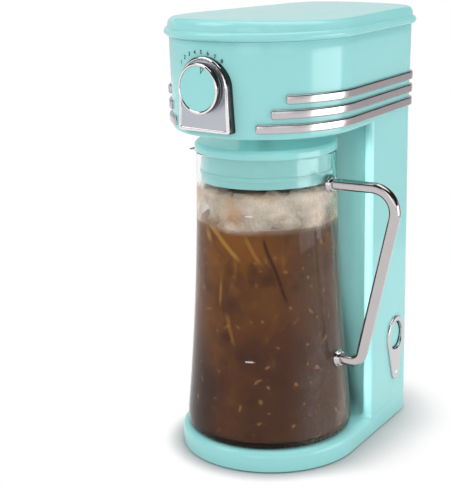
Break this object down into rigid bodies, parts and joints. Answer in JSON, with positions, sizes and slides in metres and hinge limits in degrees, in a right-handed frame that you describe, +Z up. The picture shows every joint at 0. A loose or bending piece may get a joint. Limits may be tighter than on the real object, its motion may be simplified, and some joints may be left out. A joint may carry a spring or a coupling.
{
  "type": "iced coffee maker",
  "caption": "Iced coffee maker: tapered oval column and head over a round deck, strength dial, chrome strips, lift-off lid and a clear pitcher with a bar handle.",
  "frame": {"origin": "on the floor under the pitcher's axis, at the middle foot", "axes": "+Z up, -Y to the front (the dial), +X to the right-hand side (switch and pitcher handle)"},
  "size_m": [0.199, 0.2224, 0.36],
  "materials": {
    "teal_plastic": "glossy moulded plastic",
    "chrome_trim": "bright plated",
    "clear_jar": "clear",
    "dark_plastic": "matte moulded",
    "rubber_black": "matte",
    "steel": "plain",
    "heater_alloy": "extruded",
    "silicone": "translucent silicone",
    "lamp_lens": "frosted",
    "tank_plastic": "translucent"
  },
  "bodies": {
    "machine": {"base_housing": "teal_plastic", "bottom_cover": "dark_plastic", "rubber_feet": "rubber_black", "base_screws": "steel", "column_housing": "teal_plastic", "rear_cover": "teal_plastic", "cover_screws": "steel", "cord_gland": "rubber_black", "head_housing": "teal_plastic", "water_tank": "tank_plastic", "cold_hose": "silicone", "check_valve": "dark_plastic", "heater_tube": "heater_alloy", "heater_bracket": "steel", "heater_screw": "steel", "thermostat": "dark_plastic", "riser_tube": "silicone", "spray_plate": "dark_plastic", "brew_basket": "dark_plastic", "mesh_filter": "steel", "trim_right_lower": "chrome_trim", "trim_right_middle": "chrome_trim", "trim_right_upper": "chrome_trim", "trim_left_lower": "chrome_trim", "trim_left_middle": "chrome_trim", "trim_left_upper": "chrome_trim", "dial_plate": "chrome_trim", "dial_bush": "dark_plastic", "switch_bezel": "chrome_trim", "switch_housing": "dark_plastic", "indicator_lens": "lamp_lens"},
    "lid": {"lid_cap": "teal_plastic"},
    "knob": {"knob_ring": "chrome_trim", "knob_face": "teal_plastic", "knob_pointer": "dark_plastic", "knob_shaft": "steel", "flow_gate": "dark_plastic"},
    "button": {"power_button": "teal_plastic"},
    "pitcher": {"pitcher_jar": "clear_jar", "pitcher_handle": "chrome_trim", "handle_pins": "steel"},
    "pitcher_lid": {"pitcher_lid": "teal_plastic", "pitcher_seal": "silicone"}
  },
  "joints": [
    {"name": "lid_lift", "type": "slide", "parent": "machine", "child": "lid", "axis": [0, 0, 1], "range_m": [0, 0.12]},
    {"name": "strength_turn", "type": "hinge", "parent": "machine", "child": "knob", "pos_m": [0, -0.0785, 0.3118], "axis": [0, 1, 0], "range_deg": [-65, 29]},
    {"name": "power_press", "type": "slide", "parent": "machine", "child": "button", "axis": [-0.9897, -0.143, 0], "range_m": [0, 0.0025], "stiffness_N_per_m": 600, "springref_m": -0.001},
    {"name": "pitcher_out", "type": "slide", "parent": "machine", "child": "pitcher", "axis": [0, -1, 0], "range_m": [0, 0.2]},
    {"name": "pitcher_lid_twist", "type": "hinge", "parent": "pitcher", "child": "pitcher_lid", "pos_m": [0, 0, 0.258], "axis": [0, 0, 1], "continuous": true}
  ]
}
